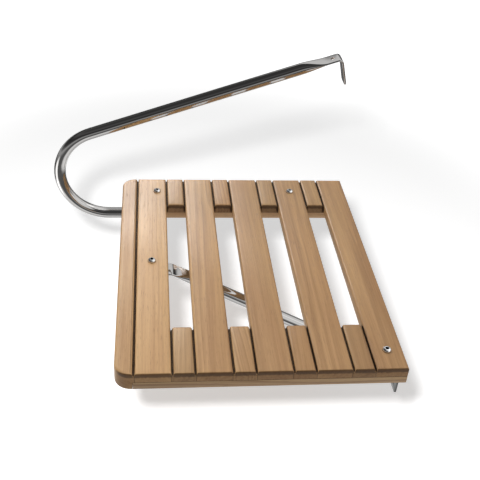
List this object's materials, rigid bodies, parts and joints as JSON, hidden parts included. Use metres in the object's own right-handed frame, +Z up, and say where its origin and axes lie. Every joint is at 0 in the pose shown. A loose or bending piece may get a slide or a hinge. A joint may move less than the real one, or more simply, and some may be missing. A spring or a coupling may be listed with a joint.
{
  "type": "hanging slatted deck seat",
  "caption": "Slatted teak seat or step deck that hangs on a wall, with a J-shaped stainless grab rail along one side and a tubular brace under it.",
  "frame": {"origin": "middle of the deck's wall edge: half way along it and half way up the slats' thickness", "axes": "+X points into the wall, so the deck lies on the -X side; +Y runs along the wall towards the grab rail's side; +Z up"},
  "size_m": [0.5901, 0.556, 0.5677],
  "materials": {
    "slat_teak": "planed teak, bare, satin",
    "filler_teak": "planed teak, bare, satin",
    "edge_teak": "planed teak, bare, satin",
    "crosspiece_teak": "planed teak, bare, satin",
    "dowel_wood": "turned, bare",
    "polished_tube": "stainless tube, mirror polished",
    "bracket_steel": "stainless strip, polished",
    "bolt_steel": "stainless, bright",
    "nut_steel": "stainless, satin",
    "screw_steel": "stainless, satin",
    "saddle_plastic": "moulded, matte",
    "plug_plastic": "moulded, matte"
  },
  "bodies": {
    "root": {"deck_slat_1": "slat_teak", "deck_slat_2": "slat_teak", "deck_slat_3": "slat_teak", "deck_slat_4": "slat_teak", "wall_board": "slat_teak", "front_filler_1": "filler_teak", "front_filler_2": "filler_teak", "front_filler_3": "filler_teak", "front_filler_4": "filler_teak", "rear_filler_1": "filler_teak", "rear_filler_2": "filler_teak", "rear_filler_3": "filler_teak", "rear_filler_4": "filler_teak", "edge_strip": "edge_teak", "front_crosspiece": "crosspiece_teak", "rear_crosspiece": "crosspiece_teak", "strip_dowel_front": "dowel_wood", "strip_dowel_rear": "dowel_wood", "grab_rail": "polished_tube", "under_brace": "polished_tube", "wall_bracket": "bracket_steel", "rail_saddle_outer": "saddle_plastic", "rail_saddle_inner": "saddle_plastic", "rail_end_plug": "plug_plastic", "rail_outer_bolt": "bolt_steel", "rail_inner_bolt": "bolt_steel", "brace_bolt": "bolt_steel", "bracket_bolt": "bolt_steel", "rail_outer_washer": "nut_steel", "rail_inner_washer": "nut_steel", "brace_washer": "nut_steel", "bracket_washer": "nut_steel", "rail_outer_nut": "nut_steel", "rail_inner_nut": "nut_steel", "brace_nut": "nut_steel", "bracket_nut": "nut_steel", "slat_screw_front_1": "screw_steel", "slat_screw_front_2": "screw_steel", "slat_screw_front_3": "screw_steel", "slat_screw_front_4": "screw_steel", "slat_screw_rear_2": "screw_steel", "slat_screw_rear_3": "screw_steel", "wall_board_screw_rear": "screw_steel", "filler_screw_front_1": "screw_steel", "filler_screw_front_2": "screw_steel", "filler_screw_front_3": "screw_steel", "filler_screw_front_4": "screw_steel", "filler_screw_rear_1": "screw_steel", "filler_screw_rear_2": "screw_steel", "filler_screw_rear_3": "screw_steel", "filler_screw_rear_4": "screw_steel"}
  },
  "joints": []
}
